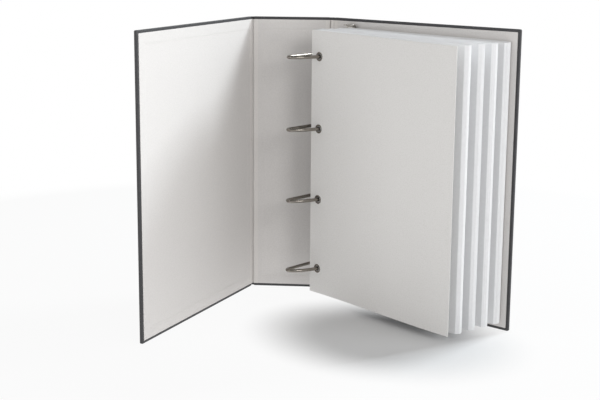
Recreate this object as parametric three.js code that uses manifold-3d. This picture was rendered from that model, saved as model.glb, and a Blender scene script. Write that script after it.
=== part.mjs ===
// A large four-ring binder standing open on its lower edges, with a slanted D-ring mechanism
// riveted to its back cover and four bundles of paper behind a thin front card on the rings.
// Millimetres, +Z up. The spine runs along X and its inside faces -Y.
import * as THREE from "three";
import { mergeVertices } from "three/addons/utils/BufferGeometryUtils.js";
import Module from "manifold-3d";

const wasm = await Module();
wasm.setup();

const degrees = THREE.MathUtils.degToRad;

// Case: two covers and a spine of board, wrapped in one covering and lined inside
const CASE_HEIGHT = 318;
const COVER_WIDTH = 250;
const SPINE_WIDTH = 95.5;
const BOARD = 2.2;
const COVERING = 0.4;
const LINING = 0.3;
const GLUE_GAP = 0.15;
const TURN_IN = 14;
const LINING_MARGIN = 3;
const JOINT_WIDTH = 7.6;
const JOINT_CLOTH = 0.5;
const FOLD_CLEARANCE = 0.6;
const FRONT_ANGLE = 110.3;
const BACK_ANGLE = 142.6;

// Ring mechanism, measured on the back cover from the fold (across) and from its inside face (height)
const RING_PITCH = 80;
const RING_COUNT = 4;
const WIRE_RADIUS = 1.9;
const WIRE_SIDES = 12;
const POST_FOOT_ACROSS = 44.2;
const POST_LEAN = 15.6;
const POST_HEIGHT = 64.7;
const SHOULDER_TURN = 32;
const SEAM_TURN = 17;
const SEAM_LAP = 3;
const SEAM_GAP = 0.3;
const CROWN_RADIUS = 5;
const BOW_ACROSS = 7;
const BOW_BEND_HEIGHT = 22;
const BOW_BEND_PULL = 10;
const BOW_FOOT_ACROSS = 20;
const WIRE_LIFT = 0.3;
const WIRE_FIT = 0.25;

const PLATE_LEFT = 14;
const PLATE_WIDTH = 35;
const PLATE_LENGTH = 292;
const PLATE_RISE = 5.15;
const PLATE_METAL = 0.9;
const PLATE_LIFT = 0.25;
const PLATE_CORNER = 11;
const PLATE_ARC_STEPS = 14;
const PLATE_SLOT_CLEARANCE = 0.7;
const BLADE_INSET = 3.8;
const BLADE_METAL = 0.8;
const BLADE_LIFT = 0.3;
const BLADE_GAP = 1;
const BLADE_OVERRUN = 6;

const LEVER_WIDTH = 13;
const LEVER_METAL = 1.3;
const LEVER_LIFT = 1.9;
const LEVER_PIVOT_INSET = 7;
const LEVER_TAIL = 3;
const LEVER_REACH = 14;
const LEVER_CURL_RADIUS = 3;
const LEVER_LIP = 4;
const LEVER_SLOT_CLEARANCE = 0.6;

const RIVET_SPACING = 262;
const RIVET_SHANK_RADIUS = 2;
const RIVET_HEAD_RADIUS = 5;
const RIVET_HEAD = 1.1;
const RIVET_CLOSED_RADIUS = 3.6;
const RIVET_CLOSED_HEAD = 0.8;
const RIVET_FIT = 0.2;
const RIVET_SIDES = 24;

// Paper: bundles fan out from the rings towards their fore-edges, and sag a little there
const PAPER_WIDTH = 210;
const PAPER_HEIGHT = 297;
const PAPER_HOLE_RADIUS = 3;
const PAPER_HOLE_MARGIN = 11.5;
const BUNDLE_THICKNESS = 11.1;
const BUNDLE_GAP = 0.35;
const BUNDLE_FORE_EDGE_HEIGHTS = [1.5, 17.5, 33, 49.5];
const CARD_THICKNESS = 0.6;
const CARD_FORE_EDGE_HEIGHT = 67.5;
const PAPER_SAG = 0.9;
const PAPER_CURVE_STEPS = 12;
const PAPER_CURVE_SHARE = 0.5;
const EYELET_RADIUS = 5.8;
const EYELET_BORE_RADIUS = 3.1;
const EYELET_METAL = 0.35;
const EYELET_FIT = 0.25;
const EYELET_SIDES = 28;

// Heights through a panel, counted from its outside face
const turnInHeight = COVERING + BOARD + 2 * GLUE_GAP;
const liningHeight = turnInHeight + COVERING + GLUE_GAP;
const PANEL = liningHeight + LINING;

const middleHeight = CASE_HEIGHT / 2;
const bladeLength = RING_PITCH * (RING_COUNT - 1) + 2 * BLADE_OVERRUN;
const postLean = degrees(POST_LEAN);
const postSlope = Math.tan(postLean);

function material(color, roughness, metalness) {
  return new THREE.MeshStandardMaterial({ color, roughness, metalness });
}

const greyboard = material(0x9c968c, 0.95, 0);
const coveringPaper = material(0x4a4a4c, 0.8, 0);
const liningPaper = material(0xe4e2dd, 0.85, 0);
const nickel = material(0xb9b2a8, 0.28, 1);
const darkSteel = material(0x8d8982, 0.38, 1);
const whitePaper = material(0xf5f5f4, 0.9, 0);
const cardPaper = material(0xe0dfdb, 0.9, 0);

// Turns a closed three.js geometry into a solid that can be cut and joined
function solidOf(geometry) {
  const bare = geometry.clone();
  bare.deleteAttribute("normal");
  bare.deleteAttribute("uv");
  const merged = mergeVertices(bare, 1e-4);
  return new wasm.Manifold(
    new wasm.Mesh({
      numProp: 3,
      vertProperties: new Float32Array(merged.attributes.position.array),
      triVerts: new Uint32Array(merged.index.array),
    }),
  );
}

// Turns a solid back into a geometry
function geometryOf(solid) {
  const mesh = solid.getMesh();
  const geometry = new THREE.BufferGeometry();
  geometry.setAttribute("position", new THREE.BufferAttribute(mesh.vertProperties, 3));
  geometry.setIndex(new THREE.BufferAttribute(mesh.triVerts, 1));
  geometry.computeVertexNormals();
  return geometry;
}

function cut(body, tools) {
  return tools.reduce((left, tool) => left.subtract(tool), body);
}

// A block between two corners, each given as [x, y, z]
function block(from, to) {
  const size = to.map((value, axis) => Math.abs(value - from[axis]));
  const centre = to.map((value, axis) => (value + from[axis]) / 2);
  return solidOf(new THREE.BoxGeometry(...size).translate(...centre));
}

// A flat outline in the XY plane, raised from one height to another
function prism(points, bottom, top) {
  const options = { depth: top - bottom, bevelEnabled: false };
  const geometry = new THREE.ExtrudeGeometry(new THREE.Shape(points), options);
  return solidOf(geometry.translate(0, 0, bottom));
}

// A straight round bar between two points
function bar(from, to, radius, sides) {
  const along = new THREE.Vector3().subVectors(to, from);
  const turn = new THREE.Quaternion();
  turn.setFromUnitVectors(new THREE.Vector3(0, 1, 0), along.clone().normalize());
  const geometry = new THREE.CylinderGeometry(radius, radius, along.length(), sides);
  geometry.applyQuaternion(turn);
  const middle = new THREE.Vector3().addVectors(from, to).multiplyScalar(0.5);
  return solidOf(geometry.translate(middle.x, middle.y, middle.z));
}

// A round wire along a flat path, cut off level just above the lining.
// The path's X is across the cover and its Y the height on it.
function wire(path, radius, steps) {
  const points = path.getSpacedPoints(steps).map((point) => onCover(point.x, point.y, 0));
  const section = new THREE.Shape();
  section.absarc(0, 0, radius, 0, 2 * Math.PI);
  const geometry = new THREE.ExtrudeGeometry(section, {
    steps,
    curveSegments: WIRE_SIDES / 2,
    bevelEnabled: false,
    extrudePath: new THREE.CatmullRomCurve3(points),
  });
  const reach = 2 * radius;
  const below = block(
    [-COVER_WIDTH, PANEL, -reach],
    [COVER_WIDTH, onCover(0, WIRE_LIFT, 0).y, reach],
  );
  return solidOf(geometry).subtract(below);
}

// A place on the back cover: across from the fold, height above its inside face, and level
function onCover(across, height, level) {
  return new THREE.Vector3(across, -(PANEL + height), level);
}

function ringLevels() {
  const first = middleHeight - (RING_PITCH * (RING_COUNT - 1)) / 2;
  return Array.from({ length: RING_COUNT }, (_, index) => first + index * RING_PITCH);
}

function rivetLevels() {
  return [middleHeight - RIVET_SPACING / 2, middleHeight + RIVET_SPACING / 2];
}

function addMesh(group, name, solid, finish) {
  const mesh = new THREE.Mesh(geometryOf(solid), finish);
  mesh.name = name;
  group.add(mesh);
}

// The covering of one panel: an outer sheet, turned in over the board along its open edges.
// The panel runs along X from the first joint; `inward` is the side of Y that its inside faces.
function covering(from, to, inward, jointAtEnd) {
  const y = (height) => inward * height;
  const past = JOINT_WIDTH;
  const pocketEnd = jointAtEnd ? to + past : to - COVERING;
  const windowEnd = jointAtEnd ? to + past : to - TURN_IN;
  const sheet = block([from, 0, 0], [to, y(turnInHeight + COVERING), CASE_HEIGHT]);
  const pocket = block(
    [from - past, y(COVERING), COVERING],
    [pocketEnd, y(turnInHeight), CASE_HEIGHT - COVERING],
  );
  const window = block(
    [from - past, y(COVERING), TURN_IN],
    [windowEnd, y(PANEL + past), CASE_HEIGHT - TURN_IN],
  );
  return cut(sheet, [pocket, window]);
}

// The thin strip of covering that runs from a board towards the middle of a joint
function jointStrip(from, to, inward) {
  return block([from, 0, 0], [to, inward * JOINT_CLOTH, CASE_HEIGHT]);
}

// The mounting holes of the rivets, as bars through the back cover
function rivetHoles() {
  const across = PLATE_LEFT + PLATE_WIDTH / 2;
  const reach = PANEL + PLATE_RISE;
  return rivetLevels().map((level) =>
    bar(
      onCover(across, -2 * reach, level),
      onCover(across, 2 * reach, level),
      RIVET_SHANK_RADIUS + RIVET_FIT,
      RIVET_SIDES,
    ),
  );
}

// One cover: board, covering and lining, from its fold at x = 0 to its fore-edge
function coverPanel(group, name, inward, holes) {
  const jointEdge = JOINT_WIDTH / 2;
  const board = block(
    [jointEdge, inward * (COVERING + GLUE_GAP), COVERING + GLUE_GAP],
    [
      COVER_WIDTH - COVERING - GLUE_GAP,
      inward * (turnInHeight - GLUE_GAP),
      CASE_HEIGHT - COVERING - GLUE_GAP,
    ],
  );
  const wrap = covering(jointEdge, COVER_WIDTH, inward, false).add(
    jointStrip(FOLD_CLEARANCE, jointEdge + COVERING, inward),
  );
  const lining = block(
    [jointEdge, inward * liningHeight, LINING_MARGIN],
    [COVER_WIDTH - LINING_MARGIN, inward * PANEL, CASE_HEIGHT - LINING_MARGIN],
  );
  addMesh(group, `${name}_board`, cut(board, holes), greyboard);
  addMesh(group, `${name}_covering`, cut(wrap, holes), coveringPaper);
  addMesh(group, `${name}_lining`, cut(lining, holes), liningPaper);
}

// The spine: the same three layers between the two joints
function spinePanel(group) {
  const edge = SPINE_WIDTH / 2 - JOINT_WIDTH / 2;
  const fold = SPINE_WIDTH / 2 - FOLD_CLEARANCE;
  const board = block(
    [-edge, -(COVERING + GLUE_GAP), COVERING + GLUE_GAP],
    [edge, -(turnInHeight - GLUE_GAP), CASE_HEIGHT - COVERING - GLUE_GAP],
  );
  const wrap = covering(-edge, edge, -1, true)
    .add(jointStrip(-fold, -edge + COVERING, -1))
    .add(jointStrip(edge - COVERING, fold, -1));
  const lining = block(
    [-edge, -liningHeight, LINING_MARGIN],
    [edge, -PANEL, CASE_HEIGHT - LINING_MARGIN],
  );
  addMesh(group, "spine_board", board, greyboard);
  addMesh(group, "spine_covering", wrap, coveringPaper);
  addMesh(group, "spine_lining", lining, liningPaper);
}

// Where the post's centreline is, across the cover, at a height on it
function postAcross(height) {
  return POST_FOOT_ACROSS - height * postSlope;
}

// The shoulder arc that turns from the leaning post to the crown over the spine side
function shoulder() {
  const crownAngle = postLean + degrees(SHOULDER_TURN);
  const start = new THREE.Vector2(postAcross(POST_HEIGHT), POST_HEIGHT);
  const crownReach = CROWN_RADIUS * (1 + Math.cos(crownAngle));
  const run = start.x - crownReach - BOW_ACROSS;
  const radius = run / (Math.cos(postLean) - Math.cos(crownAngle));
  const centre = new THREE.Vector2(
    start.x - radius * Math.cos(postLean),
    start.y - radius * Math.sin(postLean),
  );
  const crown = new THREE.Vector2(
    centre.x + (radius - CROWN_RADIUS) * Math.cos(crownAngle),
    centre.y + (radius - CROWN_RADIUS) * Math.sin(crownAngle),
  );
  return { crownAngle, centre, radius, crown };
}

// The fixed half of a ring: the leaning post and the shoulder up to `turn` past its lean
function postPath(turn) {
  const { centre, radius } = shoulder();
  const path = new THREE.Path();
  path.moveTo(postAcross(-WIRE_RADIUS), -WIRE_RADIUS);
  path.lineTo(postAcross(POST_HEIGHT), POST_HEIGHT);
  path.absarc(centre.x, centre.y, radius, postLean, postLean + turn, false);
  return path;
}

// The swinging half: the rest of the shoulder, the crown, and the bow down to the plate
function bowPath(turn) {
  const { crownAngle, centre, radius, crown } = shoulder();
  const path = new THREE.Path();
  path.absarc(centre.x, centre.y, radius, postLean + turn, crownAngle, false);
  path.absarc(crown.x, crown.y, CROWN_RADIUS, crownAngle, Math.PI, false);
  path.lineTo(BOW_ACROSS, BOW_BEND_HEIGHT);
  path.quadraticCurveTo(
    BOW_ACROSS,
    BOW_BEND_HEIGHT - BOW_BEND_PULL,
    BOW_FOOT_ACROSS,
    -WIRE_RADIUS,
  );
  return path;
}

// The lap of the closed seam: each half keeps one side of the wire over the lap's length.
// The returned block covers the wire on the outer side (side 1) or the inner side (side -1).
function lapCutter(side, fromTurn, toTurn) {
  const { centre, radius } = shoulder();
  const reach = 2 * WIRE_RADIUS;
  const near = radius - (side * SEAM_GAP) / 2;
  const far = radius + side * reach;
  const corner = (length, turn) =>
    onCover(
      centre.x + length * Math.cos(postLean + turn),
      centre.y + length * Math.sin(postLean + turn),
      0,
    );
  const corners = [
    corner(near, fromTurn),
    corner(far, fromTurn),
    corner(far, toTurn),
    corner(near, toTurn),
  ];
  const outline = corners.map((point) => new THREE.Vector2(point.x, point.y));
  return prism(outline, -reach, reach);
}

// The two halves of one ring at level 0, as [post, bow]
function ringHalves() {
  const { radius } = shoulder();
  const seam = degrees(SEAM_TURN);
  const lap = SEAM_LAP / radius;
  const gap = SEAM_GAP / radius;
  const postSteps = 22;
  const bowSteps = 42;
  const post = wire(postPath(seam + lap / 2), WIRE_RADIUS, postSteps).subtract(
    lapCutter(-1, seam - lap / 2, seam + lap),
  );
  const bow = wire(bowPath(seam - lap / 2 + gap), WIRE_RADIUS, bowSteps).subtract(
    lapCutter(1, seam - lap, seam + lap / 2 + gap),
  );
  return [post, bow];
}

// The arched plate over the blades, with rounded ends, and slots for the wires and levers
function ringPlate() {
  const half = PLATE_WIDTH / 2;
  const middle = PLATE_LEFT + half;
  const radius = (half * half + PLATE_RISE * PLATE_RISE) / (2 * PLATE_RISE);
  const spread = Math.asin(half / radius);
  const arc = (length, direction) =>
    Array.from({ length: PLATE_ARC_STEPS + 1 }, (_, step) => {
      const angle = direction * spread * ((2 * step) / PLATE_ARC_STEPS - 1);
      const height = PLATE_LIFT + PLATE_RISE - radius + length * Math.cos(angle);
      const place = onCover(middle + length * Math.sin(angle), height, 0);
      return new THREE.Vector2(place.x, place.y);
    });
  const bottom = middleHeight - PLATE_LENGTH / 2;
  const top = middleHeight + PLATE_LENGTH / 2;
  const arch = prism([...arc(radius, -1), ...arc(radius - PLATE_METAL, 1)], bottom, top);
  const slotHalf = WIRE_RADIUS + PLATE_SLOT_CLEARANCE;
  const wireSlots = ringLevels().flatMap((level) => [
    block(
      [PLATE_LEFT - 1, 0, level - slotHalf],
      [BOW_FOOT_ACROSS + slotHalf, -2 * PANEL - PLATE_RISE, level + slotHalf],
    ),
    block(
      [POST_FOOT_ACROSS - slotHalf - 1, 0, level - slotHalf],
      [POST_FOOT_ACROSS + slotHalf, -2 * PANEL - PLATE_RISE, level + slotHalf],
    ),
  ]);
  const leverHalf = LEVER_WIDTH / 2 + LEVER_SLOT_CLEARANCE;
  const leverSlot = LEVER_PIVOT_INSET;
  const leverSlots = [
    block([middle - leverHalf, 0, 0], [middle + leverHalf, -CASE_HEIGHT, bottom + leverSlot]),
    block(
      [middle - leverHalf, 0, top - leverSlot],
      [middle + leverHalf, -CASE_HEIGHT, CASE_HEIGHT],
    ),
  ];
  return cut(arch.intersect(plateOutline(bottom, top)), [
    ...wireSlots,
    ...leverSlots,
    ...rivetHoles(),
  ]);
}

// The plate seen from above: a long strip with rounded corners
function plateOutline(bottom, top) {
  const right = PLATE_LEFT + PLATE_WIDTH;
  const corner = PLATE_CORNER;
  const quarter = Math.PI / 2;
  const shape = new THREE.Shape();
  shape.absarc(PLATE_LEFT + corner, -top + corner, corner, 2 * quarter, 3 * quarter, false);
  shape.absarc(right - corner, -top + corner, corner, 3 * quarter, 4 * quarter, false);
  shape.absarc(right - corner, -bottom - corner, corner, 0, quarter, false);
  shape.absarc(PLATE_LEFT + corner, -bottom - corner, corner, quarter, 2 * quarter, false);
  const reach = 2 * (PANEL + PLATE_RISE);
  const geometry = new THREE.ExtrudeGeometry(shape, {
    depth: reach,
    curveSegments: 8,
    bevelEnabled: false,
  });
  const under = onCover(0, PLATE_LIFT, 0).y;
  return solidOf(geometry.rotateX(-Math.PI / 2).translate(0, under - reach, 0));
}

// A flat blade under the plate that carries one row of half rings
function blade(from, to, wires) {
  const strip = block(
    [from, -(PANEL + BLADE_LIFT), middleHeight - bladeLength / 2],
    [to, -(PANEL + BLADE_LIFT + BLADE_METAL), middleHeight + bladeLength / 2],
  );
  return cut(strip, wires);
}

// A thumb lever at one end of the plate, with its lip curled up past the paper.
// Its side outline is drawn along the plate (X) and up from the cover (Y), then swept across.
function thumbLever(end) {
  const bend = LEVER_CURL_RADIUS;
  const top = LEVER_LIFT + LEVER_METAL;
  const shape = new THREE.Shape();
  shape.moveTo(-LEVER_TAIL, LEVER_LIFT);
  shape.lineTo(LEVER_REACH - bend, LEVER_LIFT);
  shape.absarc(LEVER_REACH - bend, LEVER_LIFT + bend, bend, -Math.PI / 2, 0, false);
  shape.lineTo(LEVER_REACH, LEVER_LIFT + bend + LEVER_LIP);
  shape.lineTo(LEVER_REACH - LEVER_METAL, LEVER_LIFT + bend + LEVER_LIP);
  const inner = bend - LEVER_METAL;
  shape.absarc(LEVER_REACH - bend, LEVER_LIFT + bend, inner, 0, -Math.PI / 2, true);
  shape.lineTo(-LEVER_TAIL, top);
  const options = { depth: LEVER_WIDTH, curveSegments: 6, bevelEnabled: false };
  const geometry = new THREE.ExtrudeGeometry(shape, options);
  const pivot = middleHeight + end * (PLATE_LENGTH / 2 - LEVER_PIVOT_INSET);
  const across = PLATE_LEFT + (PLATE_WIDTH + end * LEVER_WIDTH) / 2;
  // The outline's X goes along the plate towards its end, and its Y away from the cover
  const place = new THREE.Matrix4().makeBasis(
    new THREE.Vector3(0, 0, end),
    new THREE.Vector3(0, -1, 0),
    new THREE.Vector3(end, 0, 0),
  );
  geometry.applyMatrix4(place);
  return solidOf(geometry.translate(across - end * LEVER_WIDTH, -PANEL, pivot));
}

// A rivet with a domed head outside and its closed end on the plate
function rivet(level) {
  const crown = PANEL + PLATE_LIFT + PLATE_RISE + RIVET_FIT;
  const under = -RIVET_FIT;
  const points = [
    [0, under - RIVET_HEAD],
    [RIVET_HEAD_RADIUS * 0.6, under - RIVET_HEAD * 0.85],
    [RIVET_HEAD_RADIUS, under - RIVET_HEAD * 0.3],
    [RIVET_HEAD_RADIUS, under],
    [RIVET_SHANK_RADIUS, under],
    [RIVET_SHANK_RADIUS, crown],
    [RIVET_CLOSED_RADIUS, crown],
    [RIVET_CLOSED_RADIUS * 0.8, crown + RIVET_CLOSED_HEAD * 0.7],
    [0, crown + RIVET_CLOSED_HEAD],
  ].map(([x, y]) => new THREE.Vector2(x, y));
  const geometry = new THREE.LatheGeometry(points, RIVET_SIDES).rotateX(Math.PI);
  return solidOf(geometry.translate(PLATE_LEFT + PLATE_WIDTH / 2, 0, level));
}

// How far a sheet has risen from the rings (0) to its fore-edge (1), at a share of its width
function fanRise(share) {
  const eased = share * share * (3 - 2 * share);
  return (1 - PAPER_CURVE_SHARE) * share + PAPER_CURVE_SHARE * eased;
}

// A stack of sheets on the posts, from its rear face up; sheets lie square to the leaning post
function sheets(rear, foreEdgeRear, thickness, holeRadius) {
  const lean = thickness * postSlope;
  const start = postAcross(rear) - PAPER_HOLE_MARGIN;
  const edge = (height, shift) =>
    Array.from({ length: PAPER_CURVE_STEPS + 1 }, (_, step) => {
      const share = step / PAPER_CURVE_STEPS;
      const rise = rear + height + (foreEdgeRear - rear) * fanRise(share);
      const place = onCover(start - shift + share * PAPER_WIDTH, rise, 0);
      return new THREE.Vector2(place.x, place.y);
    });
  const bottom = middleHeight - PAPER_HEIGHT / 2;
  const front = edge(thickness, lean);
  const back = edge(0, 0).reverse();
  const options = { depth: PAPER_HEIGHT, bevelEnabled: false };
  const geometry = new THREE.ExtrudeGeometry(new THREE.Shape([...front, ...back]), options);
  const sag = Math.tan(degrees(PAPER_SAG));
  geometry.translate(-postAcross(rear), 0, bottom);
  geometry.applyMatrix4(new THREE.Matrix4().makeShear(0, -sag, 0, 0, 0, 0));
  geometry.translate(postAcross(rear), 0, 0);
  const reach = 3;
  const holes = ringLevels().map((level) =>
    bar(
      onCover(postAcross(rear - reach), rear - reach, level),
      onCover(postAcross(rear + thickness + reach), rear + thickness + reach, level),
      holeRadius,
      16,
    ),
  );
  return cut(solidOf(geometry), holes);
}

// A metal eyelet clenched round a hole of the front card, flat on the card's slope there
function eyelet(cardRear, level) {
  const half = CARD_THICKNESS / 2;
  const points = [
    [EYELET_BORE_RADIUS, half + EYELET_FIT + EYELET_METAL],
    [EYELET_BORE_RADIUS, -half - EYELET_FIT - EYELET_METAL],
    [EYELET_RADIUS, -half - EYELET_FIT - EYELET_METAL * 0.4],
    [EYELET_RADIUS, -half - EYELET_FIT],
    [EYELET_BORE_RADIUS + EYELET_METAL, -half - EYELET_FIT],
    [EYELET_BORE_RADIUS + EYELET_METAL, half + EYELET_FIT],
    [EYELET_RADIUS, half + EYELET_FIT],
    [EYELET_RADIUS, half + EYELET_FIT + EYELET_METAL * 0.4],
    [EYELET_BORE_RADIUS, half + EYELET_FIT + EYELET_METAL],
  ].map(([x, y]) => new THREE.Vector2(x, y));
  const share = PAPER_HOLE_MARGIN / PAPER_WIDTH;
  const climb = CARD_FORE_EDGE_HEIGHT - cardRear;
  const height = cardRear + half + climb * fanRise(share);
  const slope = (climb * (fanRise(share + 0.01) - fanRise(share))) / (0.01 * PAPER_WIDTH);
  const place = onCover(postAcross(cardRear), height, level);
  const geometry = new THREE.LatheGeometry(points, EYELET_SIDES);
  geometry.rotateZ(-Math.atan(slope));
  return solidOf(geometry.translate(place.x, place.y, place.z));
}

function ringMechanism(group) {
  const [post, bow] = ringHalves();
  const middle = PLATE_LEFT + PLATE_WIDTH / 2;
  const fitted = WIRE_RADIUS + WIRE_FIT;
  const seam = degrees(SEAM_TURN);
  const postRoom = wire(postPath(seam), fitted, 22);
  const bowRoom = wire(bowPath(seam), fitted, 42);
  const levels = ringLevels();
  const postHoles = levels.map((level) => postRoom.translate([0, 0, level]));
  const bowHoles = levels.map((level) => bowRoom.translate([0, 0, level]));
  const inset = BLADE_INSET;
  const right = PLATE_LEFT + PLATE_WIDTH;
  addMesh(group, "ring_plate", ringPlate(), nickel);
  addMesh(
    group,
    "fixed_blade",
    blade(middle + BLADE_GAP / 2, right - inset, postHoles),
    darkSteel,
  );
  addMesh(
    group,
    "swinging_blade",
    blade(PLATE_LEFT + inset, middle - BLADE_GAP / 2, bowHoles),
    darkSteel,
  );
  levels.forEach((level, index) => {
    const number = index + 1;
    addMesh(group, `ring_post_${number}`, post.translate([0, 0, level]), nickel);
    addMesh(group, `ring_bow_${number}`, bow.translate([0, 0, level]), nickel);
  });
  addMesh(group, "upper_lever", thumbLever(1), nickel);
  addMesh(group, "lower_lever", thumbLever(-1), nickel);
  const [low, high] = rivetLevels();
  addMesh(group, "upper_rivet", rivet(high), nickel);
  addMesh(group, "lower_rivet", rivet(low), nickel);
}

function paperStack(group) {
  const plateTop = PLATE_LIFT + PLATE_RISE + RIVET_FIT + RIVET_CLOSED_HEAD;
  const pitch = BUNDLE_THICKNESS + BUNDLE_GAP;
  const rear = (index) => plateTop + BUNDLE_GAP + index * pitch;
  BUNDLE_FORE_EDGE_HEIGHTS.forEach((foreEdge, index) => {
    const name = `paper_bundle_${BUNDLE_FORE_EDGE_HEIGHTS.length - index}`;
    const bundle = sheets(rear(index), foreEdge, BUNDLE_THICKNESS, PAPER_HOLE_RADIUS);
    addMesh(group, name, bundle, whitePaper);
  });
  const flange = EYELET_FIT + EYELET_METAL;
  const cardRear = rear(BUNDLE_FORE_EDGE_HEIGHTS.length) + flange;
  const cardHole = EYELET_BORE_RADIUS + EYELET_METAL + EYELET_FIT;
  const card = sheets(cardRear, CARD_FORE_EDGE_HEIGHT, CARD_THICKNESS, cardHole);
  addMesh(group, "front_card", card, cardPaper);
  ringLevels().forEach((level, index) => {
    addMesh(group, `eyelet_${index + 1}`, eyelet(cardRear, level), nickel);
  });
}

const spine = new THREE.Group();
spinePanel(spine);

const frontCover = new THREE.Group();
frontCover.position.x = -SPINE_WIDTH / 2;
frontCover.rotation.z = -degrees(FRONT_ANGLE);
coverPanel(frontCover, "front_cover", 1, []);

const backCover = new THREE.Group();
backCover.position.x = SPINE_WIDTH / 2;
backCover.rotation.z = degrees(BACK_ANGLE) - Math.PI;
coverPanel(backCover, "back_cover", -1, rivetHoles());
ringMechanism(backCover);
paperStack(backCover);

const binder = new THREE.Group();
binder.add(spine, frontCover, backCover);

// The origin is the middle of the binder's outline on the surface it stands on
const outline = new THREE.Box3().setFromObject(binder, true);
const middle = outline.getCenter(new THREE.Vector3());
binder.position.set(-middle.x, -middle.y, -outline.min.z);

export default binder;
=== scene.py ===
"""Finishes, soft parts and studio of an open four-ring binder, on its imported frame.

Lengths are in metres. A place on a panel is given as across (from the fold), height
(from the panel's outside face inwards) and level (above the floor).
"""

import logging
import math
from dataclasses import dataclass, field
from enum import Enum

import bmesh
import bpy
import numpy as np
from mathutils import Matrix, Vector
from mathutils.geometry import delaunay_2d_cdt


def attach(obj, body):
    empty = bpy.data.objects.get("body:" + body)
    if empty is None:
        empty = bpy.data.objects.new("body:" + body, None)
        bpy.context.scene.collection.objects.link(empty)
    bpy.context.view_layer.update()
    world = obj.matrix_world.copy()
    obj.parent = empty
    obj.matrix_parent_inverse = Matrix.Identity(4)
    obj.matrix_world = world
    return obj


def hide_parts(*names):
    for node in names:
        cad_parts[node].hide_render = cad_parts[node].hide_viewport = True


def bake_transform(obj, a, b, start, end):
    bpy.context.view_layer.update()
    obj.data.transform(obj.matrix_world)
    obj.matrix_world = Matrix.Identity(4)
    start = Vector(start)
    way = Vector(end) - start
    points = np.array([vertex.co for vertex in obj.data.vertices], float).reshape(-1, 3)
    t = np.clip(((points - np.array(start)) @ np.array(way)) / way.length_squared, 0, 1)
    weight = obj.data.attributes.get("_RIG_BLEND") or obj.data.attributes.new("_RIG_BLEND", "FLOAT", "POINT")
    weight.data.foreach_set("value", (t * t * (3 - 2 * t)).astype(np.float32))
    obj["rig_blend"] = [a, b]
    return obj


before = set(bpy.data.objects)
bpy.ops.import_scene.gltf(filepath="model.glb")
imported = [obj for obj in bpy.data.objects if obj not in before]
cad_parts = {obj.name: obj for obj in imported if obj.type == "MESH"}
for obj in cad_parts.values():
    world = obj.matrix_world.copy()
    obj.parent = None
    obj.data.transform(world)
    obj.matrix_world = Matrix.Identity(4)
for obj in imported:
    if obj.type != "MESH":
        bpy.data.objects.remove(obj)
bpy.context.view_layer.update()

MM = 0.001

# Panels
CASE_HEIGHT = 318 * MM
SPINE_WIDTH = 95.5 * MM
FOLD_X = -103.685 * MM
FOLD_Y = 117.809 * MM
FRONT_HEADING = math.radians(-110.3)
BACK_HEADING = math.radians(-37.4)
PANEL = 3.75 * MM
TURN_IN = 14 * MM
TURN_IN_TOP = 3.3 * MM
COVERING = 0.4 * MM

# Rings
WIRE_RADIUS = 1.9 * MM
WIRE_LIFT = 0.3 * MM
WIRE_SIDES = 28
POST_FOOT = 44.2 * MM
POST_HEIGHT = 64.7 * MM
LEAN = math.radians(15.6)
SHOULDER_TURN = math.radians(32)
SEAM_TURN = math.radians(17)
SEAM_LAP = 3 * MM
SEAM_GAP = 0.3 * MM
CROWN_RADIUS = 5 * MM
BOW_ACROSS = 7 * MM
BOW_BEND_HEIGHT = 22 * MM
BOW_BEND_PULL = 10 * MM
BOW_FOOT = 20 * MM
RING_PITCH = 80 * MM
RING_LEVELS = tuple(CASE_HEIGHT / 2 + place * RING_PITCH for place in (-1.5, -0.5, 0.5, 1.5))
EYELET_RIM = 0.88
EYELET_HALF_THICKNESS = 0.42 * MM

# Paper
PAPER_WIDTH = 210 * MM
PAPER_HEIGHT = 297 * MM
PAPER_FLOOR = 10.5 * MM
HOLE_MARGIN = 11.5 * MM
HOLE_RADIUS = 3 * MM
BUNDLE = 11.1 * MM
BUNDLE_GAP = 0.35 * MM
BUNDLE_PRESSED = 7.2 * MM
FORE_EDGE_BULGE = 1.2 * MM
BUNDLE_SHEETS = 34
CARD = 0.6 * MM
CARD_LIFT = 0.6 * MM
CARD_FORE_EDGE = 77.5 * MM
SAG = math.tan(math.radians(0.9))
LOWEST_REAR = 6.75 * MM
FORE_EDGE_REARS = (1.2 * MM, 19.4 * MM, 38 * MM, 57.5 * MM)

# Studio
FLOOR_HALF = 6.0
CAMERA_PLACE = (0.064965, -1.336791, 0.4113)
CAMERA_HEADING = (-0.0755, 0.9971, 0)
CAMERA_PITCH = math.radians(11.88)
CAMERA_ROLL = math.radians(0.44)
CAMERA_LENS = 76.09
CAMERA_SENSOR = 36

log = logging.getLogger("binder")


class Slot(Enum):
    """The record's material slots."""

    BOARD = "board"
    COVERING = "covering"
    LINING = "lining"
    PAPER = "paper"
    CARD = "card"
    NICKEL = "nickel"
    BLADE = "blade_steel"


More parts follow.
